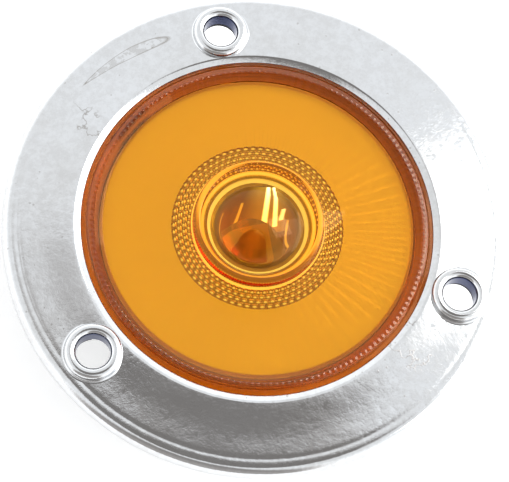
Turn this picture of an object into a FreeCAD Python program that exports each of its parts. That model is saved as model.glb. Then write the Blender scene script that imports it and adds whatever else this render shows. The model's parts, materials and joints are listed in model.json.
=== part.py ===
"""Round flange-mounted clearance light: chrome bezel, amber lens, sealed lamp body behind it.

Millimetres. The origin is the centre of the rear mounting face, +Z points out of the lens and the
first of the three screw holes lies on +Y. Everything above z = 0 stands proud of the panel.
"""
import FreeCAD, Part
import math
import os

Vec = FreeCAD.Vector
UP = Vec(0, 0, 1)

# ---- driving dimensions ------------------------------------------------------------------------
lens_radius = 25.3            # visible edge of the lens
flange_width = 11.2           # from the lens edge to the outside of the bezel
body_depth = 12.0             # back of the lamp body below the mounting face

# bezel
bezel_top = 2.95              # highest line of the flange face, beside the lens
bezel_rim_top = 2.45          # where the sloping face would meet the outer side
edge_round = 1.6              # rolled outer edge
face_break = 0.5              # softened line between the face and the inner lip
lip_width = 0.9               # inward-facing bevel round the lens
lip_drop = 0.45
lens_gap = 0.1                # all round the lens in the bezel opening
lip_underside = 1.3           # the lens flange seats against this
inner_wall = 1.6              # rear wall of the bezel, between the lamp body and the gasket
outer_wall = 1.3              # rear wall of the bezel, outside the gasket
gasket_thickness = 0.8

# screw holes and the collars round them
screw_count = 3
screw_hole_radius = 2.4
collar_radius = 4.05
collar_top = 3.94
collar_outer_round = 0.8
collar_inner_round = 0.75
gasket_hole_gap = 0.2         # the gasket's holes stand back from the screw holes

# hooks that hold the lamp body in the bezel
hook_count = 4
hook_width_angle = 14.0       # degrees
hook_first_angle = 45.0       # degrees from +X
hook_barb = 1.3               # how far each hook reaches under the rim
hook_thickness = 0.9

# lens
flange_overhang = 1.8         # hidden flange outside the visible edge
lens_edge_height = 2.5        # top of the side wall, where lens and bezel meet
crest_height = 3.12           # raised rim
crest_outer_inset = 0.9
crest_inner_inset = 1.9
field_inset = 3.0             # from the lens edge to the flat field
field_height = 2.4
field_thickness = 1.8
skirt_wall = 2.0
rim_round = 0.3
optic_ring_inner = 9.6        # band of small prisms, sunk into the underside
optic_ring_outer = 12.4
prism_rows = 3
prism_depth = 0.35
eye_collar_radius = 9.4       # raised collar round the centre lens
eye_collar_height = 3.6
eye_collar_wall = 0.9
eye_moat_width = 1.1           # low ring between the collar and the centre lens
eye_moat_lift = 0.1
eye_collar_round = 0.4
eye_moat_round = 0.3
eye_radius = 6.2              # centre lens
eye_floor = 1.7
eye_rise = 1.5
eye_back_radius = 5.6
eye_back_depth = 1.0

# lamp body
rim_thickness = 2.0
body_wall = 1.3
body_inset = 0.7              # from the lens edge to the outside of the body
body_floor = 2.4
flange_stand = 0.5            # the lens flange reaches this far behind the mounting face
seat_gap = 0.2                # round the lens flange and the body rim, inside the bezel
seal_width = 1.2
seal_depth = 0.9
seal_inset = 0.7              # from the rim's outer edge to the seal
seal_round = 0.25
fit_gap = 0.04                # round pieces that sit in one another

# plug socket on the back
socket_depth = 7.3
socket_floor = 1.6
socket_length = 24.0
socket_width = 9.6
socket_wall = 1.6
pin_spacing = 12.0
pin_radius = 2.0
pin_recess = 0.8              # pin tips stop short of the socket mouth
pin_tip_round = 1.2
shank_radius = 1.0
shank_stand = 0.7             # above the board

# inside
board_top = -5.0
board_thickness = 1.6
board_gap = 0.4               # to the reflector skirt's outside and the body wall
board_corner_gap = 0.3
post_radius = 2.2
post_circle_inset = 5.0       # from the inner wall to the posts
post_count = 3
post_first_angle = 90.0
board_screw_radius = 0.9
board_screw_grip = 2.4
board_screw_head_radius = 1.8
board_screw_head = 1.0
board_screw_round = 0.4
reflector_gap = 0.1           # under the lens
reflector_wall = 1.0
cup_mouth_radius = 6.2
cup_foot_radius = 2.7
cup_wall = 0.6
cup_bulge = 0.6
resin_gap = 0.8               # air between the resin and the board
led_size = 3.5
led_height = 0.8
led_pad_size = 3.0
led_pad_height = 0.1
led_dome_radius = 1.3
solder_radius = 1.9
solder_height = 0.6

# board parts: length, width, height, and where they stand from the centre
resistor_size = (6.3, 3.2, 0.7)
resistor_places = ((-9.5, -12.5), (0.0, -13.5))
regulator_size = (6.5, 6.1, 2.3)
regulator_place = (9.6, -11.8)
diode_size = (4.4, 2.6, 2.2)
diode_place = (-12.8, 6.5)
capacitor_radius = 2.0
capacitor_height = 3.2
capacitor_place = (12.8, 6.0)
capacitor_round = 0.3

# ---- worked out from the above -----------------------------------------------------------------
opening_radius = lens_radius + lens_gap
flange_radius = lens_radius + flange_width
screw_circle = opening_radius + lip_width + collar_radius
hidden_radius = lens_radius + flange_overhang
seat_radius = hidden_radius + seat_gap
gasket_inner = seat_radius + inner_wall
gasket_outer = flange_radius - outer_wall
field_underside = field_height - field_thickness
body_radius = lens_radius - body_inset
cavity_radius = body_radius - body_wall
floor_top = -body_depth + body_floor
socket_mouth = -body_depth + body_floor - socket_floor - socket_depth
socket_bottom = socket_mouth + socket_depth
rim_bottom = -flange_stand - rim_thickness
seal_outer = hidden_radius - seal_inset
seal_inner = seal_outer - seal_width
board_bottom = board_top - board_thickness
board_radius = cavity_radius - board_gap
post_circle = cavity_radius - post_circle_inset
reflector_top = field_underside - reflector_gap
resin_top = board_bottom - resin_gap
pin_tip = socket_mouth + pin_recess


# ---- helpers -----------------------------------------------------------------------------------
def rounded_face(corners):
    """Closed face in the X-Z plane. Each corner is (radius, height) or (radius, height, rounding)."""
    points = [Vec(c[0], 0, c[1]) for c in corners]
    rounds = [c[2] if len(c) > 2 else 0.0 for c in corners]
    starts = []
    ends = []
    arcs = []
    for i, here in enumerate(points):
        back = (points[i - 1] - here).normalize()
        ahead = (points[(i + 1) % len(points)] - here).normalize()
        if not rounds[i]:
            starts.append(here)
            ends.append(here)
            arcs.append(None)
            continue
        half = back.getAngle(ahead) / 2
        reach = rounds[i] / math.tan(half)
        middle = here + (back + ahead).normalize() * (rounds[i] / math.sin(half) - rounds[i])
        starts.append(here + back * reach)
        ends.append(here + ahead * reach)
        arcs.append(Part.Arc(starts[-1], middle, ends[-1]).toShape())
    edges = []
    for i in range(len(points)):
        if arcs[i]:
            edges.append(arcs[i])
        after = starts[(i + 1) % len(points)]
        if ends[i].distanceToPoint(after) > 1e-6:
            edges.append(Part.LineSegment(ends[i], after).toShape())
    return Part.Face(Part.Wire(edges))


def turned(corners):
    """Solid of revolution about Z from an outline of rounded corners."""
    return rounded_face(corners).revolve(Vec(0, 0, 0), UP, 360)


def ring(inner, outer, low, high):
    return turned([(inner, low), (outer, low), (outer, high), (inner, high)])


def disc(radius, low, high, x=0.0, y=0.0):
    return Part.makeCylinder(radius, high - low, Vec(x, y, low))


def block(length, width, low, high, x=0.0, y=0.0):
    return Part.makeBox(length, width, high - low, Vec(x - length / 2, y - width / 2, low))


def stadium(length, width, low, high):
    """Upright slot-shaped prism, its long way along X."""
    reach = (length - width) / 2
    body = block(2 * reach, width, low, high)
    return body.fuse([disc(width / 2, low, high, -reach), disc(width / 2, low, high, reach)]).removeSplitter()


def cap(radius, rise, base, upward=True):
    """Spherical cap standing on the circle of the given radius at the base height."""
    sphere_radius = (radius ** 2 + rise ** 2) / (2 * rise)
    side = 1 if upward else -1
    sphere = Part.makeSphere(sphere_radius, Vec(0, 0, base + side * (rise - sphere_radius)))
    low, high = (base, base + rise) if upward else (base - rise, base)
    return sphere.common(disc(radius, low, high))


def polar(radius, count, first):
    """Points spaced evenly round the axis."""
    spots = []
    for i in range(count):
        angle = math.radians(first + 360.0 * i / count)
        spots.append((radius * math.cos(angle), radius * math.sin(angle)))
    return spots


screw_spots = polar(screw_circle, screw_count, 90.0)
post_spots = polar(post_circle, post_count, post_first_angle)
pin_spots = {"contact_pin_positive": pin_spacing / 2, "contact_pin_negative": -pin_spacing / 2}


# ---- bezel and what goes with it ---------------------------------------------------------------
def hook(angle):
    """One hook: a tongue down the inside of the rear wall with a barb under the body rim."""
    barb_top = rim_bottom
    tongue_outer = seat_radius + hook_thickness
    barb_inner = hidden_radius - hook_barb
    barb_bottom = barb_top - hook_thickness
    outline = [
        (seat_radius, gasket_thickness),
        (seat_radius, barb_top),
        (barb_inner, barb_top, hook_thickness / 4),
        (barb_inner, barb_bottom + hook_thickness / 2),
        (seat_radius, barb_bottom - hook_thickness / 4),
        (tongue_outer, barb_bottom - hook_thickness / 4, hook_thickness / 4),
        (tongue_outer, gasket_thickness),
    ]
    tongue = rounded_face(outline).revolve(Vec(0, 0, 0), UP, hook_width_angle)
    tongue.rotate(Vec(0, 0, 0), UP, angle - hook_width_angle / 2)
    return tongue


def screw_collar(x, y):
    """Tube round one screw hole, from the gasket to its rounded mouth."""
    tube = turned([
        (screw_hole_radius, gasket_thickness),
        (collar_radius, gasket_thickness),
        (collar_radius, collar_top, collar_outer_round),
        (screw_hole_radius, collar_top, collar_inner_round),
    ])
    tube.translate(Vec(x, y, 0))
    return tube


def make_bezel():
    flange = turned([
        (opening_radius, lip_underside),
        (seat_radius, lip_underside),
        (seat_radius, 0.0),
        (gasket_inner, 0.0),
        (gasket_inner, gasket_thickness),
        (gasket_outer, gasket_thickness),
        (gasket_outer, 0.0),
        (flange_radius, 0.0, 0.2),
        (flange_radius, bezel_rim_top, edge_round),
        (opening_radius + lip_width, bezel_top, face_break),
        (opening_radius, bezel_top - lip_drop, lip_drop / 3),
    ])
    drills = [disc(screw_hole_radius, -1.0, collar_top + 1.0, x, y) for x, y in screw_spots]
    flange = flange.cut([disc((screw_hole_radius + collar_radius) / 2, -1.0, collar_top, x, y)
                         for x, y in screw_spots])
    collars = [screw_collar(x, y) for x, y in screw_spots]
    seat = disc(seat_radius, -1.0, lip_underside)
    hooks = [hook(hook_first_angle + 360.0 * i / hook_count) for i in range(hook_count)]
    return flange.fuse(collars).cut(seat).fuse(hooks).cut(drills).removeSplitter()


def make_mounting_gasket():
    """Foam ring in the back of the bezel, flush with the mounting face."""
    foam = ring(gasket_inner + fit_gap, gasket_outer - fit_gap, 0.0, gasket_thickness)
    hole = screw_hole_radius + gasket_hole_gap
    return foam.cut([disc(hole, -1.0, gasket_thickness + 1.0, x, y) for x, y in screw_spots])


# ---- lens and seal -----------------------------------------------------------------------------
def make_lens():
    """Moulded cap: hidden flange, raised rim, flat field, prism band, collar and centre lens."""
    skirt_inner = cavity_radius - fit_gap
    collar_crown = eye_collar_radius - eye_collar_wall
    shell = turned([
        (0.0, field_underside),
        (skirt_inner, field_underside),
        (skirt_inner, -flange_stand),
        (hidden_radius, -flange_stand),
        (hidden_radius, lip_underside),
        (lens_radius, lip_underside),
        (lens_radius, lens_edge_height, rim_round / 2),
        (lens_radius - crest_outer_inset, crest_height, rim_round),
        (lens_radius - crest_inner_inset, crest_height, rim_round),
        (lens_radius - field_inset, field_height, rim_round),
        (eye_collar_radius, field_height, rim_round),
        (eye_collar_radius, eye_collar_height, eye_collar_round),
        (collar_crown, eye_collar_height, eye_collar_round),
        (eye_radius + eye_moat_width, eye_floor + eye_moat_lift, eye_moat_round),
        (eye_radius, eye_floor),
        (0.0, eye_floor),
    ])
    pitch = (optic_ring_outer - optic_ring_inner) / prism_rows
    grooves = []
    for row in range(prism_rows):
        start = optic_ring_inner + row * pitch
        grooves.append(turned([
            (start, field_underside),
            (start + pitch, field_underside),
            (start + pitch / 2, field_underside + prism_depth),
        ]))
    front = cap(eye_radius, eye_rise, eye_floor)
    back = cap(eye_back_radius, eye_back_depth, field_underside, upward=False)
    return shell.fuse([front, back]).cut(grooves).removeSplitter()


def make_lens_seal():
    return turned([
        (seal_inner + fit_gap, -flange_stand - seal_depth, seal_round),
        (seal_outer - fit_gap, -flange_stand - seal_depth, seal_round),
        (seal_outer - fit_gap, -flange_stand, seal_round),
        (seal_inner + fit_gap, -flange_stand, seal_round),
    ])


# ---- lamp body ---------------------------------------------------------------------------------
def make_housing():
    """Cup with a rim under the lens flange, posts for the board and the plug socket on its back."""
    cup = turned([
        (0.0, -body_depth),
        (body_radius, -body_depth, body_wall),
        (body_radius, rim_bottom),
        (hidden_radius, rim_bottom, seal_round),
        (hidden_radius, -flange_stand),
        (seal_outer, -flange_stand),
        (seal_outer, -flange_stand - seal_depth),
        (seal_inner, -flange_stand - seal_depth),
        (seal_inner, -flange_stand),
        (cavity_radius, -flange_stand),
        (cavity_radius, floor_top),
        (0.0, floor_top),
    ])
    posts = [disc(post_radius, floor_top, board_bottom, x, y) for x, y in post_spots]
    socket = stadium(socket_length + 2 * socket_wall, socket_width + 2 * socket_wall,
                     socket_mouth, -body_depth)
    cuts = [stadium(socket_length, socket_width, socket_mouth - 1.0, socket_bottom)]
    for x in pin_spots.values():
        cuts.append(disc(shank_radius + fit_gap, socket_bottom - 1.0, floor_top + 1.0, x))
    for x, y in post_spots:
        cuts.append(disc(board_screw_radius, board_bottom - board_screw_grip, board_bottom + 1.0, x, y))
    return cup.fuse(posts + [socket]).cut(cuts).removeSplitter()


def make_potting_resin():
    """Resin poured round the pins and posts on the floor of the cup."""
    pool = disc(cavity_radius - fit_gap, floor_top, resin_top)
    holes = [disc(post_radius + fit_gap, floor_top - 1.0, resin_top + 1.0, x, y) for x, y in post_spots]
    for x in pin_spots.values():
        holes.append(disc(shank_radius + fit_gap, floor_top - 1.0, resin_top + 1.0, x))
    return pool.cut(holes)


def make_contact_pin(x):
    """Bullet-ended pin seated on the socket floor, with a thin shank up to the board."""
    pin = turned([
        (0.0, pin_tip),
        (pin_radius, pin_tip, pin_tip_round),
        (pin_radius, socket_bottom),
        (shank_radius, socket_bottom),
        (shank_radius, board_top + shank_stand),
        (0.0, board_top + shank_stand),
    ])
    pin.translate(Vec(x, 0, 0))
    return pin


# ---- reflector, cup and board ------------------------------------------------------------------
def make_reflector():
    """White tray upside down on the board: a flat plate close behind the lens, and a skirt."""
    outer = cavity_radius - 2 * fit_gap
    tray = turned([
        (cup_mouth_radius + cup_wall + fit_gap, reflector_top),
        (outer - fit_gap, reflector_top, rim_round),
        (outer - fit_gap, board_top),
        (outer - reflector_wall, board_top),
        (outer - reflector_wall, reflector_top - reflector_wall, rim_round),
        (cup_mouth_radius + cup_wall + fit_gap, reflector_top - reflector_wall),
    ])
    return tray


def cup_outline(offset):
    """Foot, middle and mouth of the cup's curved wall, pushed outward by the offset."""
    foot = Vec(cup_foot_radius + offset, 0, board_top)
    mouth = Vec(cup_mouth_radius + offset, 0, reflector_top)
    middle = (foot + mouth) * 0.5 + Vec(cup_bulge, 0, -cup_bulge)
    return foot, middle, mouth


def make_led_cup():
    """Metallised cup that stands on the board round the emitter and opens behind the centre lens."""
    foot_in, middle_in, mouth_in = cup_outline(0.0)
    foot_out, middle_out, mouth_out = cup_outline(cup_wall)
    edges = [
        Part.Arc(foot_in, middle_in, mouth_in).toShape(),
        Part.LineSegment(mouth_in, mouth_out).toShape(),
        Part.Arc(mouth_out, middle_out, foot_out).toShape(),
        Part.LineSegment(foot_out, foot_in).toShape(),
    ]
    return Part.Face(Part.Wire(edges)).revolve(Vec(0, 0, 0), UP, 360)


def make_circuit_board():
    board = disc(board_radius, board_bottom, board_top)
    holes = [disc(board_screw_radius + fit_gap, board_bottom - 1.0, board_top + 1.0, x, y)
             for x, y in post_spots]
    for x in pin_spots.values():
        holes.append(disc(shank_radius + fit_gap, board_bottom - 1.0, board_top + 1.0, x))
    return board.cut(holes)


def make_board_screws():
    """Three identical screws through the board into the posts."""
    screws = []
    for x, y in post_spots:
        screw = turned([
            (0.0, board_bottom - board_screw_grip + 2 * fit_gap),
            (board_screw_radius - fit_gap, board_bottom - board_screw_grip + 2 * fit_gap),
            (board_screw_radius - fit_gap, board_top),
            (board_screw_head_radius, board_top),
            (board_screw_head_radius, board_top + board_screw_head, board_screw_round),
            (0.0, board_top + board_screw_head),
        ])
        slot = block(2 * board_screw_head_radius, board_screw_round,
                     board_top + board_screw_head / 2, board_top + 2 * board_screw_head)
        screw = screw.cut(slot)
        screw.translate(Vec(x, y, 0))
        screws.append(screw)
    return Part.makeCompound(screws)


def make_solder_joints():
    """A cone of solder round each pin shank where it comes through the board."""
    joints = []
    for x in pin_spots.values():
        joint = turned([
            (shank_radius + fit_gap, board_top),
            (solder_radius, board_top),
            (shank_radius + fit_gap, board_top + solder_height),
        ])
        joint.translate(Vec(x, 0, 0))
        joints.append(joint)
    return Part.makeCompound(joints)


def make_chip(size, place):
    """Moulded part with softened upright corners, standing on the board."""
    length, width, height = size
    chip = block(length, width, board_top, board_top + height, place[0], place[1])
    upright = [e for e in chip.Edges if abs(e.BoundBox.ZLength - height) < 1e-6]
    return chip.makeFillet(board_corner_gap, upright)


def make_led_package():
    base = board_top + led_pad_height
    body = block(led_size, led_size, base, base + led_height)
    upright = [e for e in body.Edges if abs(e.BoundBox.ZLength - led_height) < 1e-6]
    return body.makeFillet(board_corner_gap, upright)


def make_capacitor():
    x, y = capacitor_place
    can = turned([
        (0.0, board_top),
        (capacitor_radius, board_top),
        (capacitor_radius, board_top + capacitor_height, capacitor_round),
        (0.0, board_top + capacitor_height),
    ])
    can.translate(Vec(x, y, 0))
    return can


def make_all():
    nodes = {
        "bezel": make_bezel(),
        "mounting_gasket": make_mounting_gasket(),
        "lens": make_lens(),
        "lens_seal": make_lens_seal(),
        "housing": make_housing(),
        "potting_resin": make_potting_resin(),
        "reflector": make_reflector(),
        "led_cup": make_led_cup(),
        "circuit_board": make_circuit_board(),
        "board_screws": make_board_screws(),
        "solder_joints": make_solder_joints(),
        "led_thermal_pad": block(led_pad_size, led_pad_size, board_top, board_top + led_pad_height),
        "led_package": make_led_package(),
        "led_dome": cap(led_dome_radius, led_dome_radius, board_top + led_pad_height + led_height),
        "current_regulator": make_chip(regulator_size, regulator_place),
        "polarity_diode": make_chip(diode_size, diode_place),
        "capacitor": make_capacitor(),
    }
    for number, place in enumerate(resistor_places, start=1):
        nodes["resistor_%d" % number] = make_chip(resistor_size, place)
    for name, x in pin_spots.items():
        nodes[name] = make_contact_pin(x)
    return nodes


os.makedirs("parts", exist_ok=True)
for name, shape in make_all().items():
    solids = len(shape.Solids)
    box = shape.BoundBox
    print("%-22s solids %d valid %s volume %9.2f  z %7.2f to %6.2f  width %6.2f"
          % (name, solids, shape.isValid(), shape.Volume, box.ZMin, box.ZMax, box.XLength))
    shape.exportStep("parts/%s.step" % name)
print("screw circle diameter %.2f, flange diameter %.2f" % (2 * screw_circle, 2 * flange_radius))
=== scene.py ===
# %% [markdown]
# A round clearance light, as fitted to a vehicle: an amber lens in a chrome flange, with the lamp
# body behind it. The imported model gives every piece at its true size. This file gives the pieces
# their looks. The plated flange and the clear lens are modelled again, because a mirror and a
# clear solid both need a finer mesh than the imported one. Every other piece keeps its shape and
# only gets its own finish.

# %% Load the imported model
import json
import math

import bmesh
import bpy
from mathutils import Matrix, Vector


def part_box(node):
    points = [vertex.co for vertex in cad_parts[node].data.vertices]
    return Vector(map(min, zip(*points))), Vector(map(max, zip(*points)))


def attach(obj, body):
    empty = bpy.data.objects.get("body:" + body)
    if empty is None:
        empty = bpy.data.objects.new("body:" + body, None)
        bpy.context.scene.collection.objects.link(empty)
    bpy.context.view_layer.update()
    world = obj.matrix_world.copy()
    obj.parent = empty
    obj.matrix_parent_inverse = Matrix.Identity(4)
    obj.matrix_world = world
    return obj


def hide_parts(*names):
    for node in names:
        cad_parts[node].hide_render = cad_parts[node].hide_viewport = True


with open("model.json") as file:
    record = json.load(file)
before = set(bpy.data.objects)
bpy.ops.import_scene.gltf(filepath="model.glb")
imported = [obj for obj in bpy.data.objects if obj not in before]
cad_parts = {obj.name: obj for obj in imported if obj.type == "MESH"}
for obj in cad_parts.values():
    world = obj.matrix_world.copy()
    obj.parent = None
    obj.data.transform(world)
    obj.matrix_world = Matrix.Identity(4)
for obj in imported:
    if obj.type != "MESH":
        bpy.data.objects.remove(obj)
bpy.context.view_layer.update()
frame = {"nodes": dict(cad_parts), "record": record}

MM = 0.001
print("nodes:", ", ".join(sorted(frame["nodes"])))

# %% [markdown]
# Most pieces of a lamp are round, so they are made as on a lathe. Half of the section is drawn by
# extruding one vertex from point to point, and the line is then spun about the upright axis. An
# outline is a list of corners, each with its own rounding, so that the few numbers that matter
# stay readable and the arcs are worked out.

# %% Outlines with rounded corners
ARC_STEPS = 9


def rounded(corners, closed=True, arc_steps=ARC_STEPS):
    """Points in millimetres from corners (radius, height) or (radius, height, rounding)."""
    points = []
    count = len(corners)
    for i, corner in enumerate(corners):
        here = Vector(corner[:2])
        rounding = corner[2] if len(corner) > 2 else 0
        if not rounding or (not closed and i in (0, count - 1)):
            points.append(here)
            continue
        back = (Vector(corners[i - 1][:2]) - here).normalized()
        ahead = (Vector(corners[(i + 1) % count][:2]) - here).normalized()
        half = back.angle(ahead) / 2
        centre = here + (back + ahead).normalized() * rounding / math.sin(half)
        start = here + back * rounding / math.tan(half) - centre
        end = here + ahead * rounding / math.tan(half) - centre
        sweep = start.angle_signed(end)
        for step in range(arc_steps + 1):
            bend = -sweep * step / arc_steps
            points.append(centre + Vector((start.x * math.cos(bend) - start.y * math.sin(bend),
                                           start.x * math.sin(bend) + start.y * math.cos(bend))))
    if closed:
        points.append(points[0])
    return [(p.x, p.y) for p in points]


print("a rounded square has", len(rounded([(0, 0, .1), (1, 0, .1), (1, 1, .1), (0, 1, .1)])), "points")

# %% [markdown]
# The same few steps come back for every piece: turn an outline, turn a piece into place, join or
# cut with a boolean, and set the shading. Full turns use the Screw modifier, applied at once,
# because it is fast on a long outline. Part turns, such as a hook, use the spin operator.

# %% Modelling helpers
EDIT, OBJECT = "EDIT", "OBJECT"


def into(mode):
    bpy.ops.object.mode_set(mode=mode)


def clear_selection():
    if bpy.context.object and bpy.context.object.mode != OBJECT:
        into(OBJECT)
    bpy.ops.object.select_all(action="DESELECT")


def lathe(name, outline, steps, angle=360.0, axis_at=(0.0, 0.0)):
    """Turns an outline in millimetres about an upright axis, and returns the closed piece."""
    clear_selection()
    bpy.ops.mesh.primitive_plane_add(size=MM, location=(0, 0, 0))
    piece = bpy.context.object
    piece.name = piece.data.name = name
    into(EDIT)
    bpy.ops.mesh.select_all(action="SELECT")
    bpy.ops.mesh.merge(type="CENTER")
    bpy.ops.transform.translate(value=(outline[0][0] * MM, 0, outline[0][1] * MM))
    for (r0, z0), (r1, z1) in zip(outline, outline[1:]):
        bpy.ops.mesh.extrude_region_move(
            TRANSFORM_OT_translate={"value": ((r1 - r0) * MM, 0, (z1 - z0) * MM)})
    bpy.ops.mesh.select_all(action="SELECT")
    bpy.ops.mesh.remove_doubles(threshold=MM * 1e-4)
    if angle < 360:
        bpy.ops.mesh.edge_face_add()
        bpy.ops.mesh.spin(steps=steps, angle=math.radians(angle), center=(0, 0, 0), axis=(0, 0, 1))
        into(OBJECT)
    else:
        into(OBJECT)
        screw = piece.modifiers.new("screw", "SCREW")
        screw.steps = screw.render_steps = steps
        screw.use_merge_vertices = True
        screw.merge_threshold = MM * 1e-4
        bpy.ops.object.modifier_apply(modifier=screw.name)
    into(EDIT)
    bpy.ops.mesh.select_all(action="SELECT")
    bpy.ops.mesh.remove_doubles(threshold=MM * 1e-3)
    bpy.ops.mesh.normals_make_consistent(inside=False)
    bpy.ops.transform.translate(value=(axis_at[0] * MM, axis_at[1] * MM, 0))
    into(OBJECT)
    return piece


def turn(piece, degrees):
    """Turns a piece about the upright axis of the light, anticlockwise seen from above."""
    clear_selection()
    bpy.context.view_layer.objects.active = piece
    piece.select_set(True)
    into(EDIT)
    bpy.ops.mesh.select_all(action="SELECT")
    bpy.ops.transform.rotate(value=math.radians(-degrees), orient_axis="Z", center_override=(0, 0, 0))
    into(OBJECT)


def combine(piece, other, operation):
    """Boolean of two closed pieces. The second one is used up."""
    clear_selection()
    bpy.context.view_layer.objects.active = piece
    modifier = piece.modifiers.new(operation.lower(), "BOOLEAN")
    modifier.operation = operation
    modifier.solver = "EXACT"
    modifier.object = other
    bpy.ops.object.modifier_apply(modifier=modifier.name)
    bpy.data.objects.remove(other)


def shade(piece, degrees):
    clear_selection()
    bpy.context.view_layer.objects.active = piece
    piece.select_set(True)
    bpy.ops.object.shade_smooth_by_angle(angle=math.radians(degrees))


def measure(piece):
    size = piece.dimensions / MM
    print("%s: %.2f x %.2f x %.2f mm, %d faces" % (piece.name, *size, len(piece.data.polygons)))


print("helpers for turning, joining and shading are ready")

# %% [markdown]
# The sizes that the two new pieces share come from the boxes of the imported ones, so that the new
# flange and lens are exactly as large, and the lens sits in the flange with the same small gaps.

# %% Sizes of the flange and the lens, in millimetres
bezel_low, bezel_high = (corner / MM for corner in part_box("bezel"))
lens_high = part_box("lens")[1] / MM
gasket_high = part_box("mounting_gasket")[1] / MM
GASKET_GAP, LENS_GAP, SEAT_GAP = 0.04, 0.04, 0.2
FLANGE_RADIUS = bezel_high.x
COLLAR_TOP = bezel_high.z
HOOK_BOTTOM = bezel_low.z
GASKET_TOP = gasket_high.z
GASKET_RADIUS = gasket_high.x + GASKET_GAP
LENS_RADIUS = 25.3
HIDDEN_RADIUS = lens_high.x
LIP_UNDERSIDE = 1.3
SEAT_RADIUS = HIDDEN_RADIUS + SEAT_GAP
print("flange %.2f mm across, collars %.2f mm high" % (2 * FLANGE_RADIUS, COLLAR_TOP))

# %% [markdown]
# The flange is what the eye lands on first, and chrome shows every flaw of a mesh. Its face is a
# shallow cone with a faint dish and one fine step, so the outline has a point every half
# millimetre there, and closer near the step: smooth shading then follows the true surface and the
# mirror image stays calm. The outer edge is rolled over, and a rounded lip leads down to the lens.

# %% Turn the flange
FLANGE_STEPS = 480
OPENING_RADIUS = LENS_RADIUS + LENS_GAP
LIP_ROUND = 0.9
LIP_RADIUS = OPENING_RADIUS + LIP_ROUND
LIP_DROP = 0.43
FACE_TOP, FACE_EDGE = 2.95, 2.45
EDGE_ROUND = 1.6
FACE_DISH = 0.05
EDGE_STEP, STEP_RADIUS, STEP_WIDTH = 0.025, 34.2, 0.3
GASKET_INNER = SEAT_RADIUS + 1.6
COARSE, FINE = 0.5, 0.15


def face_height(radius):
    """Height of the flange face: a cone, dished a little, with a fine step before the rolled edge."""
    share = (radius - LIP_RADIUS) / (FLANGE_RADIUS - LIP_RADIUS)
    edge_start = FLANGE_RADIUS - EDGE_ROUND
    along = min(1, max(0, (radius - LIP_RADIUS) / (edge_start - LIP_RADIUS)))
    dish = FACE_DISH * math.sin(math.pi * along) ** 2
    step = EDGE_STEP * math.exp(-((radius - STEP_RADIUS) / STEP_WIDTH) ** 2)
    return FACE_TOP + (FACE_EDGE - FACE_TOP) * share - dish - step


def flange_outline():
    corners = [
        (OPENING_RADIUS, LIP_UNDERSIDE),
        (SEAT_RADIUS, LIP_UNDERSIDE),
        (SEAT_RADIUS, 0.0),
        (GASKET_INNER, 0.0),
        (GASKET_INNER, GASKET_TOP),
        (GASKET_RADIUS, GASKET_TOP),
        (GASKET_RADIUS, 0.0, 0.1),
        (FLANGE_RADIUS, 0.0, 0.2),
        (FLANGE_RADIUS, FACE_EDGE, EDGE_ROUND),
        (LIP_RADIUS, FACE_TOP, LIP_ROUND),
        (OPENING_RADIUS, FACE_TOP - LIP_DROP, 0.08),
    ]
    points = []
    plain = rounded(corners, arc_steps=14)
    for before, after in zip(plain, plain[1:]):
        points.append(before)
        is_face = before[0] - after[0] > 5 and before[1] > 1
        if is_face:
            radius = before[0] - 0.1
            while radius > after[0] + 0.2:
                points.append((radius, face_height(radius)))
                radius -= FINE if radius > STEP_RADIUS - 3 * STEP_WIDTH else COARSE
    points.append(points[0])
    return points


flange = lathe("flange", flange_outline(), FLANGE_STEPS)
measure(flange)

# %% [markdown]
# Each screw hole stands in a short tube with a fully rounded mouth and a small flare at its foot.
# At each of the three places a core is cut away and a tube is joined in with exact booleans, so
# the plated skin is one closed surface, as on the real moulding. Four hooks hang from the back of
# the flange and hold the lamp body. Each one is a short part of a turned ring.

# %% Add the screw collars, drill the holes and hang the hooks
SCREW_CIRCLE = LENS_RADIUS + 5.05
HOLE_RADIUS = 2.4
COLLAR_RADIUS = 4.05
COLLAR_STEPS = 96
FLARE = 0.35
CORE_RADIUS = 3.2
SCREW_ANGLES = (90, 210, 330)
HOOK_ANGLES = (45, 135, 225, 315)
HOOK_SWEEP = 14.0
HOOK_REACH, HOOK_WALL = 1.3, 0.9
HOOK_LEDGE, HOOK_TIP = 1.13, 0.68


def collar_outline():
    foot = face_height(SCREW_CIRCLE) + 0.02
    flare = [(COLLAR_RADIUS + FLARE * (1 - math.sin(a)), foot + FLARE * (1 - math.cos(a)))
             for a in (math.radians(15 * k) for k in range(0, 7))]
    mouth = rounded([(COLLAR_RADIUS, GASKET_TOP), (COLLAR_RADIUS, COLLAR_TOP, 0.85),
                     (HOLE_RADIUS, COLLAR_TOP, 0.78), (HOLE_RADIUS, GASKET_TOP)],
                    closed=False, arc_steps=12)
    inner = [p for p in mouth if p[1] > GASKET_TOP + 0.01]
    return ([(HOLE_RADIUS, GASKET_TOP + 0.2), (COLLAR_RADIUS + FLARE, GASKET_TOP + 0.2)]
            + flare + inner + [(HOLE_RADIUS, GASKET_TOP + 0.2)])


def polar(radius, degrees):
    return radius * math.cos(math.radians(degrees)), radius * math.sin(math.radians(degrees))


screw_places = [polar(SCREW_CIRCLE, angle) for angle in SCREW_ANGLES]
core_outline = [(0, -1), (CORE_RADIUS, -1), (CORE_RADIUS, COLLAR_TOP + 1), (0, COLLAR_TOP + 1)]
for place in screw_places:
    combine(flange, lathe("core", core_outline, COLLAR_STEPS, axis_at=place), "DIFFERENCE")
    combine(flange, lathe("collar", collar_outline(), COLLAR_STEPS, axis_at=place), "UNION")

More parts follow.
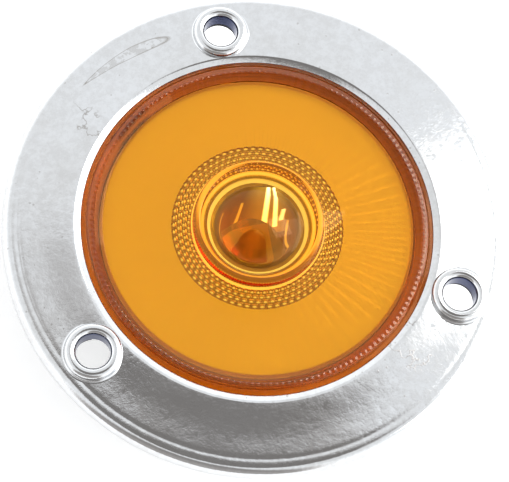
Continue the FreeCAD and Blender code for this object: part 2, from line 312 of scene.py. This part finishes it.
hook_outline = rounded([
    (SEAT_RADIUS, GASKET_TOP), (SEAT_RADIUS, HOOK_BOTTOM + HOOK_LEDGE),
    (HIDDEN_RADIUS - HOOK_REACH, HOOK_BOTTOM + HOOK_LEDGE, 0.2),
    (HIDDEN_RADIUS - HOOK_REACH, HOOK_BOTTOM + HOOK_TIP),
    (SEAT_RADIUS, HOOK_BOTTOM), (SEAT_RADIUS + HOOK_WALL, HOOK_BOTTOM, 0.22),
    (SEAT_RADIUS + HOOK_WALL, GASKET_TOP),
])
for angle in HOOK_ANGLES:
    tongue = lathe("hook", hook_outline, 8, angle=HOOK_SWEEP)
    turn(tongue, angle + HOOK_SWEEP / 2)
    combine(flange, tongue, "UNION")

flange.name = flange.data.name = "bezel_plated"
shade(flange, 32)
measure(flange)
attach(flange, "root")
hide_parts("bezel")

# %% [markdown]
# The lens is one clear moulding. From the edge inwards it has a serrated rim, a flat field, a band
# of fine prisms moulded on its back, a raised collar and a convex centre lens. Glass shows both
# its skins, so the whole closed section is turned, front and back. The turn has 700 steps, so
# that the serrations and prisms can be pulled out of the mesh afterwards.

# %% Turn the lens
LENS_STEPS = 700
FIELD_HEIGHT, FIELD_BACK = 2.4, 0.6
EYE_RADIUS, EYE_FLOOR, EYE_RISE = 6.2, 1.7, 1.5
MOAT_RADIUS = 7.3
EYE_COLLAR_RADIUS, EYE_COLLAR_HEIGHT = 9.4, lens_high.z
PRISM_INNER, PRISM_OUTER, PRISM_ROWS, PRISMS_ROUND = 9.55, 12.4, 4, 70
PRISM_RINGS = 6
BACK_RADIUS, BACK_RISE = 5.6, 1.0
SKIRT_RADIUS, SKIRT_BOTTOM = 23.26, -0.5
CREST_HEIGHT, CREST_MIDDLE = 3.05, 3.12


def dome(radius, rise, base, steps):
    """Half an arc from the rim of a cap to the axis."""
    ball = (radius ** 2 + rise ** 2) / (2 * rise)
    points = []
    for step in range(steps + 1):
        r = radius * (1 - step / steps)
        points.append((r, base + rise - ball + math.sqrt(ball ** 2 - r ** 2)))
    return points


def lens_outline():
    back = [(r, 2 * FIELD_BACK - z) for r, z in reversed(dome(BACK_RADIUS, BACK_RISE, FIELD_BACK, 10))]
    ring_step = (PRISM_OUTER - PRISM_INNER) / (PRISM_ROWS * PRISM_RINGS)
    band = [(PRISM_INNER + ring_step * k, FIELD_BACK) for k in range(PRISM_ROWS * PRISM_RINGS + 1)]
    skirt = [(SKIRT_RADIUS, FIELD_BACK), (SKIRT_RADIUS, SKIRT_BOTTOM),
             (HIDDEN_RADIUS, SKIRT_BOTTOM), (HIDDEN_RADIUS, LIP_UNDERSIDE)]
    rim = rounded([
        (LENS_RADIUS, LIP_UNDERSIDE), (LENS_RADIUS, 2.5, 0.1), (24.75, 2.8, 0.08), (24.6, 2.75, 0.05),
        (24.3, CREST_HEIGHT, 0.12), (23.75, CREST_MIDDLE, 0.12), (23.4, CREST_HEIGHT, 0.15),
        (22.3, FIELD_HEIGHT, 0.6),
        (EYE_COLLAR_RADIUS, FIELD_HEIGHT, 0.35), (EYE_COLLAR_RADIUS, EYE_COLLAR_HEIGHT, 0.5),
        (8.5, EYE_COLLAR_HEIGHT, 0.4), (MOAT_RADIUS, EYE_FLOOR + 0.1, 0.3), (EYE_RADIUS, EYE_FLOOR),
    ], closed=False, arc_steps=5)
    return back + band + skirt + rim + dome(EYE_RADIUS, EYE_RISE, EYE_FLOOR, 14)[1:]


lens = lathe("lens_moulding", lens_outline(), LENS_STEPS)
measure(lens)

# %% [markdown]
# The crest of the rim is finely notched all the way round, and the band about the eye is covered
# with small staggered pips on the back of the lens. Both are far too many to model one by one.
# Instead the vertices are picked by their place round the circle and moved straight up: one short
# move for the notches, and three growing ones for the pips, which makes them round.

# %% Pull out the serrations and the prisms
BEAD_EVERY = 4
BEAD_INNER, BEAD_OUTER, BEAD_LOW = 23.5, 24.2, 3.0
PIP_REACHES = (0.95, 0.7, 0.4)
BEAD_RISE = 0.09
PRISM_DEPTH = 0.24


def pull(piece, chosen, rise):
    """Moves the vertices for which chosen(radius, height, column) is true straight up."""
    clear_selection()
    bpy.context.view_layer.objects.active = piece
    into(EDIT)
    bpy.ops.mesh.select_all(action="DESELECT")
    bpy.ops.mesh.select_mode(type="VERT")
    mesh = bmesh.from_edit_mesh(piece.data)
    count = 0
    for vertex in mesh.verts:
        x, y, z = vertex.co / MM
        column = round(math.atan2(y, x) / (2 * math.pi) * LENS_STEPS) % LENS_STEPS
        vertex.select = chosen(math.hypot(x, y), z, column)
        count += vertex.select
    mesh.select_flush_mode()
    bmesh.update_edit_mesh(piece.data)
    bpy.ops.transform.translate(value=(0, 0, rise * MM))
    into(OBJECT)
    return count


def on_bead(radius, height, column):
    return BEAD_INNER < radius < BEAD_OUTER and height > BEAD_LOW and column % BEAD_EVERY < 2


def on_prism(reach):
    """The part of each prism within a share of its half width: staggered round pips."""
    def chosen(radius, height, column):
        on_back = FIELD_BACK - 0.01 <= height <= FIELD_BACK + PRISM_DEPTH
        if not on_back or not PRISM_INNER < radius < PRISM_OUTER:
            return False
        place = (radius - PRISM_INNER) / (PRISM_OUTER - PRISM_INNER) * PRISM_ROWS
        pitch = LENS_STEPS // PRISMS_ROUND
        across = (column + (int(place) % 2) * pitch // 2) % pitch
        return math.hypot(2 * (place % 1) - 1, 2 * across / pitch - 1) < reach
    return chosen


beads = pull(lens, on_bead, -BEAD_RISE)
prisms = 0
for reach in PIP_REACHES:
    prisms += pull(lens, on_prism(reach), PRISM_DEPTH / len(PIP_REACHES))
print("bead vertices", beads, "prism vertices", prisms)
shade(lens, 40)
measure(lens)
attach(lens, "root")
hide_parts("lens")

# %% [markdown]
# Finishes are mixed in nodes. To keep the arithmetic readable, a small class wraps one output of a
# node, and plus, minus, times and so on add the Math nodes. A second class is the material that
# is being mixed: its method add makes any other node, from its type, its settings and its inputs.

# %% Material helpers
class Wire:
    """One output in a material. Arithmetic on it adds Math nodes."""

    def __init__(self, mix, socket):
        self.mix = mix
        self.socket = socket

    def math(self, operation, first, second=0.0):
        return self.mix.add("ShaderNodeMath", {"operation": operation}, {0: first, 1: second})

    def __add__(self, other):
        return self.math("ADD", self, other)

    def __radd__(self, other):
        return self.math("ADD", other, self)

    def __sub__(self, other):
        return self.math("SUBTRACT", self, other)

    def __rsub__(self, other):
        return self.math("SUBTRACT", other, self)

    def __mul__(self, other):
        return self.math("MULTIPLY", self, other)

    def __rmul__(self, other):
        return self.math("MULTIPLY", other, self)

    def __truediv__(self, other):
        return self.math("DIVIDE", self, other)

    def __pow__(self, other):
        return self.math("POWER", self, other)

    def __lt__(self, other):
        return self.math("LESS_THAN", self, other)

    def __gt__(self, other):
        return self.math("GREATER_THAN", self, other)

    def __abs__(self):
        return self.math("ABSOLUTE", self)


class Mix:
    """A material, or the world, while it is being mixed."""

    def __init__(self, name, owner=None, place="Object"):
        self.material = owner or bpy.data.materials.new(name)
        self.material.use_nodes = True
        self.nodes = self.material.node_tree.nodes
        self.links = self.material.node_tree.links
        self.nodes.clear()
        self.place = self.add("ShaderNodeTexCoord", output=place)

    def add(self, kind, settings=None, inputs=None, output=0):
        """Adds a node, sets it, feeds its inputs and returns one of its outputs."""
        node = self.nodes.new(kind)
        for key, value in (settings or {}).items():
            if key == "stops":
                stops = node.color_ramp.elements
                while len(stops) < len(value):
                    stops.new(0.5)
                for stop, (position, colour) in zip(stops, value):
                    stop.position = position
                    stop.color = colour
            else:
                setattr(node, key, value)
        for key, value in (inputs or {}).items():
            if isinstance(value, Wire):
                self.links.new(value.socket, node.inputs[key])
            else:
                node.inputs[key].default_value = value
        return Wire(self, node.outputs[output])

    def noise(self, scale, detail=3.0, roughness=0.5, place=None):
        inputs = {"Vector": place or self.place, "Scale": scale, "Detail": detail, "Roughness": roughness}
        return self.add("ShaderNodeTexNoise", {}, inputs)

    def axis(self, letter):
        """One coordinate of the place on the piece, in metres."""
        return self.add("ShaderNodeSeparateXYZ", {}, {0: self.place}, letter)

    def radius(self):
        """Distance from the upright axis of the light, in millimetres."""
        x = self.axis("X") / MM
        y = self.axis("Y") / MM
        return (x * x + y * y) ** 0.5

    def angle(self):
        """Angle about the upright axis of the light, in radians."""
        return self.add("ShaderNodeMath", {"operation": "ARCTAN2"}, {0: self.axis("Y"), 1: self.axis("X")})

    def colour(self, factor, first, second):
        return self.add("ShaderNodeMix", {"data_type": "RGBA"}, {0: factor, 6: first, 7: second}, 2)

    def ramp(self, value, stops):
        grey = [(p, (c, c, c, 1)) if isinstance(c, (int, float)) else (p, c) for p, c in stops]
        return self.add("ShaderNodeValToRGB", {"stops": grey}, {0: value})

    def rings(self, radius, span, stops):
        """Values that change with the radius. Stops are (radius in millimetres, value)."""
        return self.ramp(radius / span, [(place / span, value) for place, value in stops]) * 1.0

    def bump(self, height, strength, distance):
        inputs = {"Height": height, "Strength": strength, "Distance": distance}
        return self.add("ShaderNodeBump", {}, inputs)

    def surface(self, volume=None, **inputs):
        """The shader itself. Names use _ for the spaces of its sockets."""
        named = {key.replace("_", " "): value for key, value in inputs.items()}
        shader = self.add("ShaderNodeBsdfPrincipled", {}, named)
        node = self.nodes.new("ShaderNodeOutputMaterial")
        self.links.new(shader.socket, node.inputs["Surface"])
        if volume:
            self.links.new(volume.socket, node.inputs["Volume"])
        return self.material


def dress(piece, material):
    piece.data.materials.clear()
    piece.data.materials.append(material)


print("helpers for mixing finishes are ready")

# %% [markdown]
# Bright plating over a moulding is a near mirror, a little grey, with a very slight waviness,
# fine dust, a few soft stains, a dried smear and two patches of hair cracks. All of that is far
# below a millimetre deep, so it belongs in the roughness, the colour and a gentle bump. The walls
# of the screw holes are painted a dark blue, as painted shade and reflection in the bores.

# %% Chrome plate
def near(mix, x, y, reach, softness=0.2):
    """One close to an upright line at (x, y) millimetres, and zero beyond its reach."""
    flat = mix.add("ShaderNodeVectorMath", {"operation": "MULTIPLY"},
                   {0: mix.place, 1: (1 / MM, 1 / MM, 0)}, "Vector")
    away = mix.add("ShaderNodeVectorMath", {"operation": "DISTANCE"}, {0: flat, 1: (x, y, 0)}, "Value")
    return mix.ramp(away / (2 * reach), [(0.5 * (1 - softness), 1.0), (0.5, 0.0)]) * 1.0


def smear(mix, x, y, degrees, length, width, wobble):
    """A dried smear with a darker outline: a long oval, bent by a slow noise."""
    bent = mix.add("ShaderNodeMapping", {"vector_type": "TEXTURE"}, {
        "Vector": mix.place, "Location": (x * MM, y * MM, 0), "Rotation": (0, 0, math.radians(degrees)),
        "Scale": (length * MM, width * MM, 1.0)})
    along = mix.add("ShaderNodeSeparateXYZ", {}, {0: bent}, "X")
    across = mix.add("ShaderNodeSeparateXYZ", {}, {0: bent}, "Y") + along * along * 0.7
    across = across / (0.65 + along * 0.35)
    edge = along * along + across * across + (mix.noise(wobble, 3.0) - 0.5) * 0.6
    line = mix.ramp(abs(edge - 1.0), [(0.0, 1.0), (0.22, 0.0)]) * 1.0
    inside = (edge < 1.0) * (mix.noise(900, 4.0, 0.7) > 0.5)
    return line * 0.8 + inside * 0.25


def hair_cracks(mix, scale, width, x, y, reach):
    """Thin broken lines, where a noise crosses its middle value, near one place."""
    line = mix.ramp(abs(mix.noise(scale, 5.0, 0.6) - 0.5), [(0.0, 1.0), (width, 0.0)])
    return line * near(mix, x, y, reach)


def chrome_plate():
    mix = Mix("chrome_plate")
    waves = mix.noise(150, 2.0)
    cloud = mix.noise(60, 4.0, 0.6)
    grain = mix.noise(1500, 3.0, 0.6)
    mottle = mix.ramp(mix.noise(900, 5.0, 0.7), [(0.40, 0.0), (0.60, 1.0)]) * 1.0
    specks = mix.add("ShaderNodeTexVoronoi", {}, {"Vector": mix.place, "Scale": 700.0}, "Distance")
    speck = (specks < 0.12) * (mix.noise(260, 2.0) > 0.54)
    crack = hair_cracks(mix, 75, 0.006, -23.6, 18.3, 4.5) + hair_cracks(mix, 95, 0.01, 16.5, -21.5, 5.0)
    stain = mix.ramp(cloud, [(0.40, 0.0), (0.75, 1.0)]) * 1.0
    marks = smear(mix, -14.8, 28.6, 23.0, 7.2, 1.1, 260) + crack * 0.8 + speck * 0.4
    # Painted shade and reflection: the walls of the screw holes are painted dark blue.
    bore_painted_reflection = 0.0
    for place in screw_places:
        bore_painted_reflection = near(mix, *place, HOLE_RADIUS + 0.1, 0.03) + bore_painted_reflection
    base = mix.colour(stain, (0.67, 0.68, 0.695, 1), (0.60, 0.60, 0.60, 1))
    base = mix.colour(mottle * 0.17, base, (0.34, 0.32, 0.30, 1))
    base = mix.colour(marks, base, (0.30, 0.28, 0.26, 1))
    base = mix.colour(bore_painted_reflection, base, (0.035, 0.045, 0.11, 1))
    rough = 0.035 + stain * 0.04 + mottle * 0.08 + marks * 0.25
    height = waves + grain * 0.05 + mottle * 0.1 + marks * 0.1
    return mix.surface(Base_Color=base, Metallic=1.0, Roughness=rough,
                       Normal=mix.bump(height, 0.35, 0.0001))


dress(flange, chrome_plate())
print("plated flange:", len(flange.active_material.node_tree.nodes), "nodes")

# %% [markdown]
# The amber is clear plastic coloured right through, and its colour comes from how far light
# travels inside: a thin field over a white backing is a bright orange, and a thick rim is a deep
# red-brown. So most of the tint is a volume. The surface adds the rest: painted shade darkens the
# steep foot and slope of the rim and the groove behind its crest, one short arc is darker, and
# the crest has a clear coat. The reflections are tinted as well. Real plastic would not do that,
# but it keeps a grey veil off the field.

# %% Amber plastic
DARK_ARC_ANGLE = math.radians(131)
LENS_SPAN = 50


def amber_plastic():
    mix = Mix("amber_plastic")
    haze = mix.noise(120, 4.0, 0.6)
    rough = mix.ramp(haze, [(0.35, 0.01), (0.75, 0.035)]) * 1.0
    radius = mix.radius()
    # Painted shade: the foot, the slope and the groove of the rim are darkened in the surface colour.
    foot = mix.rings(radius, LENS_SPAN, [(22.2, 0.0), (22.45, 1.0), (22.8, 1.0), (23.1, 0.0)])
    slope_painted_shade = mix.rings(radius, LENS_SPAN, [(22.8, 0.0), (23.1, 1.0), (23.7, 1.0), (23.95, 0.0)])
    groove_painted_shade = mix.rings(radius, LENS_SPAN, [(24.35, 0.0), (24.55, 1.0), (24.8, 0.0)]) * 0.8
    arc_ring = mix.rings(radius, LENS_SPAN, [(23.1, 0.0), (23.35, 1.0), (23.85, 1.0), (24.1, 0.0)])
    crest = mix.rings(radius, LENS_SPAN, [(23.5, 0.0), (23.7, 1.0), (24.2, 1.0), (24.35, 0.0)])
    arc = mix.ramp(abs(mix.angle() - DARK_ARC_ANGLE), [(0.10, 1.0), (0.17, 0.0)]) * arc_ring
    amber_and_painted_shade = mix.colour(slope_painted_shade, (0.985, 0.95, 0.29, 1), (0.86, 0.66, 0.25, 1))
    amber_and_painted_shade = mix.colour(foot, amber_and_painted_shade, (0.62, 0.44, 0.15, 1))
    amber_and_painted_shade = mix.colour(arc, amber_and_painted_shade, (0.16, 0.08, 0.05, 1))
    amber_and_painted_shade = mix.colour(groove_painted_shade, amber_and_painted_shade, (0.55, 0.40, 0.16, 1))
    volume = mix.add("ShaderNodeVolumeAbsorption", {},
                     {"Color": (0.987, 0.637, 0.015, 1), "Density": 600.0})
    return mix.surface(volume, Base_Color=amber_and_painted_shade, Roughness=rough, IOR=1.49, Transmission_Weight=1.0,
                       Coat_Weight=crest, Coat_Roughness=0.05, Specular_Tint=(0.9, 0.55, 0.26, 1),
                       Normal=mix.bump(mix.noise(200, 1.0), 0.04, 0.0001))


dress(lens, amber_plastic())
print("amber lens:", len(lens.active_material.node_tree.nodes), "nodes")

# %% [markdown]
# The rest keeps its imported shape. Most of it is moulded plastic or metal, so two functions make
# most finishes: a moulding has a cloudy colour and a fine spark-eroded grain, and a metal has fine
# drawn streaks. The lamp body is white inside, where it lights the rim of the lens; outside, painted
# shade makes it a light grey, so that it stands out from the pale floor. The gasket is a black open foam.

# %% Plastic, metal and foam finishes
def moulding(name, light, dark, rough, grain, grain_size=1800.0):
    """Moulded plastic: cloudy colour and a fine spark-eroded grain."""
    mix = Mix(name)
    cloud = mix.noise(70, 3.0)
    speck = mix.noise(grain_size, 2.0)
    base = mix.colour(cloud, dark, light)
    roughness = mix.ramp(speck, [(0.3, rough - 0.08), (0.7, rough + 0.08)]) * 1.0
    return mix.surface(Base_Color=base, Roughness=roughness, Normal=mix.bump(speck, grain, 0.0001))


def metal(name, light, dark, rough, streaks):
    """Bare or plated metal with fine drawn streaks."""
    mix = Mix(name)
    stretched = mix.add("ShaderNodeMapping", {}, {"Vector": mix.place, "Scale": streaks})
    lines = mix.noise(1.0, 3.0, place=stretched)
    roughness = mix.ramp(lines, [(0.3, rough), (0.7, rough + 0.15)]) * 1.0
    return mix.surface(Base_Color=mix.colour(lines, dark, light), Metallic=1.0, Roughness=roughness,
                       Normal=mix.bump(lines, 0.1, 0.00005))


BODY_SIDE, BODY_RIM, BODY_FLOOR = 23.8, -1.2, -10.7


def housing_plastic():
    """White inside, where it lights the rim of the lens, and painted shade makes it light grey outside."""
    mix = Mix("housing_plastic")
    height = mix.axis("Z") / MM
    radius = mix.radius()
    side = (radius > BODY_SIDE) * (height < BODY_RIM) + (radius > HIDDEN_RADIUS - 0.1)
    outside_painted_shade = side + (height < BODY_FLOOR)
    cloud = mix.noise(70, 3.0)
    speck = mix.noise(1800, 2.0)
    # Painted shade: outside, the white body is made a light grey.
    grey = mix.colour(cloud, (0.34, 0.34, 0.34, 1), (0.46, 0.46, 0.455, 1))
    base = mix.colour(outside_painted_shade, (0.84, 0.84, 0.83, 1), grey)
    return mix.surface(Base_Color=base, Roughness=0.4 + speck * 0.2, Normal=mix.bump(speck, 0.25, 0.0001))


def foam():
    mix = Mix("gasket_foam")
    cells = mix.add("ShaderNodeTexVoronoi", {}, {"Vector": mix.place, "Scale": 2600.0}, "Distance")
    base = mix.colour(cells, (0.012, 0.012, 0.012, 1), (0.05, 0.05, 0.05, 1))
    return mix.surface(Base_Color=base, Roughness=0.9 - cells * 0.2, Normal=mix.bump(cells, 0.6, 0.0002))


print("plastic, metal and foam are ready")


# %% [markdown]
# Behind the lens everything is seen through amber, enlarged by the centre lens. The board is white
# with faint tracks, painted a mid grey as shade; the cup is a brownish dull metal, and the emitter
# is a solid yellow.
# The backing is white with a pattern of small pools of light under the pips. The pools, and the
# long streaks in the cup, are painted as emission and placed one by one. They stay on the piece,
# so they do not follow the lamps of the room.

# %% Finishes behind the lens
STREAK_ACROSS, STREAK_ALONG = -7, 83
BACKING_SPAN = 12


def board_in_painted_shade():
    mix = Mix("board")
    tracks = mix.add("ShaderNodeTexBrick", {"offset": 0.5}, {"Vector": mix.place, "Scale": 260.0,
                     "Mortar Size": 0.012}, "Fac")
    # Painted shade: the white board is made a mid grey, as the shade under the lens.
    base = mix.colour(tracks, (0.50, 0.48, 0.45, 1), (0.60, 0.58, 0.55, 1))
    return mix.surface(Base_Color=base, Roughness=0.35 + mix.noise(600) * 0.1,
                       Normal=mix.bump(tracks, 0.2, 0.00004))


def cup_metal():
    """Thin dull metal, with painted streaks of light."""
    mix = Mix("metallised")
    across = mix.add("ShaderNodeVectorMath", {"operation": "DOT_PRODUCT"},
                     {0: mix.place, 1: (*polar(1 / MM, STREAK_ACROSS), 0)}, "Value")
    along = mix.add("ShaderNodeVectorMath", {"operation": "DOT_PRODUCT"},
                    {0: mix.place, 1: (*polar(1 / MM, STREAK_ALONG), 0)}, "Value")

    def streak(start, lean, low, high, half_width):
        """A line that starts at (start, low) and leans over by lean for each millimetre."""
        off = abs(across - start - (along - low) * lean) / half_width
        return mix.ramp(off, [(0.4, 1.0), (1.0, 0.0)]) * (along > low) * (along < high)

    cloud = mix.noise(400, 3.0)
    base = mix.colour(cloud, (0.52, 0.35, 0.26, 1), (0.38, 0.25, 0.18, 1))
    warm = streak(1.5, 0.1, 1.5, 6.0, 2.4) * 0.3 + streak(-1.3, 0.25, 1.6, 4.0, 0.16) * 0.75
    warm = warm + streak(-2.4, 0.1, 1.0, 3.2, 0.2) * 0.5 + streak(2.7, 0.45, 0.6, 2.2, 0.12) * 0.7
    bright = streak(1.15, 0.2, 1.7, 6.0, 0.32) + streak(2.15, 0.16, 1.9, 6.0, 0.28) * 0.85
    bright = bright + streak(2.75, 0.5, 2.3, 3.2, 0.3) * 0.5
    glow = mix.colour(warm, (0.04, 0.03, 0.02, 1), (1.1, 0.85, 0.4, 1))
    glow = mix.colour(bright, glow, (3.2, 3.6, 7.0, 1))
    return mix.surface(Base_Color=base, Metallic=1.0, Roughness=0.4 + cloud * 0.2,
                       Normal=mix.bump(cloud, 0.2, 0.0001),
                       Emission_Color=glow, Emission_Strength=1.0)


def yellow_silicone():
    mix = Mix("led_silicone")
    cloud = mix.noise(900)
    return mix.surface(Base_Color=mix.colour(cloud, (0.55, 0.42, 0.15, 1), (0.66, 0.5, 0.2, 1)),
                       Roughness=0.25 + cloud * 0.1)


def reflector_white():
    """White backing with painted light and shade: pools under the pips, shadow between them, two glowing
    rings, a dark ring between those and a faint glow all over.
    """
    mix = Mix("white_plastic")
    radius = mix.radius()
    row = (radius - PRISM_INNER) / ((PRISM_OUTER - PRISM_INNER) / PRISM_ROWS)
    row_number = mix.add("ShaderNodeMath", {"operation": "FLOOR"}, {0: row})
    turn_share = mix.angle() * (PRISMS_ROUND / (2 * math.pi)) + row_number * 0.5
    across = mix.add("ShaderNodeMath", {"operation": "FRACT"}, {0: turn_share + 100.0}) - 0.5
    along = mix.add("ShaderNodeMath", {"operation": "FRACT"}, {0: row}) - 0.5
    off_centre = (across * across + along * along) ** 0.5
    pool = mix.ramp(off_centre, [(0.16, 1.0), (0.42, 0.0)]) * 1.0
    band = (radius > PRISM_INNER) * (radius < PRISM_OUTER)
    shadow = band * (1 - pool)
    cloud = mix.noise(70, 3.0)
    base = mix.colour(cloud, (0.95, 0.95, 0.94, 1), (0.91, 0.91, 0.90, 1))
    # Painted shade: a dark ring between the two painted glowing rings.
    dark_ring_painted_shade = mix.rings(radius, BACKING_SPAN, [(7.596, 0.0), (7.86, 1.0), (8.4, 1.0), (8.664, 0.0)])
    base = mix.colour(shadow * 0.95, base, (0.26, 0.13, 0.06, 1))
    base = mix.colour(dark_ring_painted_shade * 0.8, base, (0.24, 0.14, 0.08, 1))
    # Painted light: two glowing rings, the pools under the pips and a faint glow all over.
    outer_glow = mix.rings(radius, BACKING_SPAN, [(8.664, 0.0), (8.88, 1.0), (9.36, 1.0), (9.552, 0.0)])
    inner_glow = mix.rings(radius, BACKING_SPAN, [(6.72, 1.0), (7.44, 1.0), (7.68, 0.0)]) * 0.6
    painted_glow = outer_glow + inner_glow + band * pool * 0.7
    glow = mix.colour(painted_glow, (0.09, 0.09, 0.09, 1), (0.75, 0.75, 0.70, 1))
    return mix.surface(Base_Color=base, Roughness=0.35 + mix.noise(1800) * 0.2,
                       Emission_Color=glow, Emission_Strength=1.0)


print("board, cup, silicone and backing are ready")

# %% [markdown]
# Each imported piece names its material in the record, so one table from material to finish dresses
# them all. The colours of the small pieces follow what they are made of.

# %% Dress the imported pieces
FINISHES = {
    "seal_rubber": moulding("seal_rubber", (0.85, 0.85, 0.83, 1), (0.8, 0.8, 0.78, 1), 0.6, 0.1),
    "gasket_foam": foam(),
    "housing_plastic": housing_plastic(),
    "resin": moulding("resin", (0.02, 0.02, 0.02, 1), (0.01, 0.01, 0.01, 1), 0.2, 0.05, 300.0),
    "white_plastic": reflector_white(),
    "metallised": cup_metal(),
    "board": board_in_painted_shade(),
    "steel": metal("steel", (0.62, 0.62, 0.63, 1), (0.45, 0.45, 0.46, 1), 0.25, (900, 900, 2500)),
    "contact_brass": metal("contact_brass", (0.85, 0.66, 0.32, 1), (0.62, 0.46, 0.2, 1), 0.2,
                           (600, 600, 2400)),
    "solder": metal("solder", (0.75, 0.76, 0.78, 1), (0.55, 0.56, 0.58, 1), 0.2, (900, 900, 900)),
    "thermal_pad": moulding("thermal_pad", (0.5, 0.52, 0.56, 1), (0.4, 0.42, 0.46, 1), 0.7, 0.1),
    "led_body": moulding("led_body", (0.85, 0.84, 0.8, 1), (0.75, 0.74, 0.7, 1), 0.5, 0.05),
    "led_silicone": yellow_silicone(),
    "chip_black": moulding("chip_black", (0.025, 0.025, 0.027, 1), (0.015, 0.015, 0.016, 1), 0.5, 0.2),
    "chip_ceramic": moulding("chip_ceramic", (0.1, 0.1, 0.11, 1), (0.06, 0.06, 0.065, 1), 0.3, 0.05),
}
for entry in frame["record"]["subparts"]:
    if entry["material_slot"] in FINISHES:
        dress(frame["nodes"][entry["node"]], FINISHES[entry["material_slot"]])
print("finishes:", ", ".join(FINISHES))

# %% [markdown]
# A plain pale floor lies at the height of the lowest piece. It glows a little, so that it stays
# even and pale right out to its edge.

# %% Floor
def make_floor():
    floor_height = min(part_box("housing")[0].z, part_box("bezel")[0].z)
    clear_selection()
    bpy.ops.mesh.primitive_plane_add(size=3.0, location=(0, 0, floor_height))
    floor = bpy.context.object
    floor.name = "floor"
    mix = Mix("floor_white")
    dress(floor, mix.surface(Base_Color=(0.9, 0.9, 0.9, 1), Roughness=0.8,
                             Emission_Color=(1, 1, 1, 1), Emission_Strength=0.3))
    return floor


floor = make_floor()
print("floor at %.1f mm" % (floor.location.z / MM))

# %% [markdown]
# Chrome shows the room more than itself, so the room is built for it. Two large soft lights stand
# to the right: one high and beyond the lamp, one low and broad. Directions are given as seen from
# the camera, so that each light can be thought of as "right", "away" and "up".

# %% Lights
AWAY = Vector((0.446, 0.895, 0))
RIGHT = Vector((0.895, -0.446, 0))


def soft_light(name, right, away, up, width, height, radiance):
    """A flat light of even brightness that faces the lamp. Places are in metres."""
    data = bpy.data.lights.new(name, "AREA")
    data.shape = "RECTANGLE"
    data.size, data.size_y = width, height
    data.energy = radiance * math.pi * width * height
    light = bpy.data.objects.new(name, data)
    light.location = RIGHT * right + AWAY * away + Vector((0, 0, up))
    light.rotation_euler = (-light.location).to_track_quat("-Z", "Y").to_euler()
    bpy.context.scene.collection.objects.link(light)
    print("%s light: %.2f m square, %.0f W" % (name, width, data.energy))


soft_light("hot", 0.50, 0.50, 0.98, 0.5, 0.5, 4.0)
soft_light("key", 1.1, 0.35, 0.6, 1.3, 1.3, 2.1)


# %% [markdown]
# All round stands a white tent, a little brighter low down. It has three dim gaps, which the
# plating shows as its dark parts: one above the lamp where the camera looks in, a small one
# aside, and one low behind the camera. Their edges are ragged and a little warm, like the folds
# of a cloth.

# %% World
def set_world():
    """A white tent, brighter towards the floor, with its three dim gaps."""
    world = bpy.data.worlds.new("studio")
    bpy.context.scene.world = world
    mix = Mix("studio", world, "Generated")

    def towards(direction):
        return mix.add("ShaderNodeVectorMath", {"operation": "DOT_PRODUCT"},
                       {0: mix.place, 1: tuple(direction.normalized())}, "Value")

    ragged = (mix.noise(6.0, 2.0) - 0.5) * 0.06
    above = towards(AWAY * -0.13 + RIGHT * 0.035 + Vector((0, 0, 0.99))) + ragged
    aside = towards(RIGHT * -0.21 + AWAY * 0.20 + Vector((0, 0, 0.957))) + ragged * 0.15
    behind = towards(AWAY * -1.0 + Vector((0, 0, 0.25)))
    gap = mix.ramp(above, [(0.926, 0.0), (0.950, 1.0)]) * 0.76
    gap = gap + mix.ramp(aside, [(0.9955, 0.0), (0.9985, 1.0)]) * 0.6
    gap = gap + mix.ramp(behind, [(0.72, 0.0), (0.84, 1.0)]) * 0.72
    tent = mix.ramp(towards(Vector((0, 0, 1))), [(0.25, 1.0), (0.75, 0.63)]) * 1.9
    hue = mix.colour(gap, (0.965, 0.985, 1.0, 1), (1.0, 0.93, 0.88, 1))
    background = mix.add("ShaderNodeBackground", {}, {"Color": hue, "Strength": tent * (1 - gap)})
    output = mix.nodes.new("ShaderNodeOutputWorld")
    mix.links.new(background.socket, output.inputs["Surface"])


set_world()
bpy.context.scene.view_settings.view_transform = "Standard"
print("world:", len(bpy.context.scene.world.node_tree.nodes), "nodes")

# %% [markdown]
# The camera stands a quarter of a metre off and looks steeply down, turned a little about its own
# line of sight, so that the lamp lies tilted in the frame.

# %% Camera
CAMERA_LENS = 119.7
CAMERA_PLACE = (-38.70, -77.71, 228.45)
CAMERA_AIM = (-0.672, -1.685, 0.0)
CAMERA_ROLL = 16.72


def make_camera():
    data = bpy.data.cameras.new("camera")
    data.lens = CAMERA_LENS
    data.sensor_width = 36.0
    data.sensor_fit = "HORIZONTAL"
    data.clip_start = 0.01
    camera = bpy.data.objects.new("camera", data)
    camera.location = Vector(CAMERA_PLACE) * MM
    aim = Vector(CAMERA_AIM) * MM
    roll = math.radians(CAMERA_ROLL)
    facing = (aim - camera.location).to_track_quat("-Z", "Y").to_matrix()
    camera.rotation_euler = (facing @ Matrix.Rotation(roll, 3, "Z")).to_euler()
    bpy.context.scene.collection.objects.link(camera)
    bpy.context.scene.camera = camera
    print("camera %.0f mm from the lamp" % ((camera.location - aim).length / MM))


make_camera()
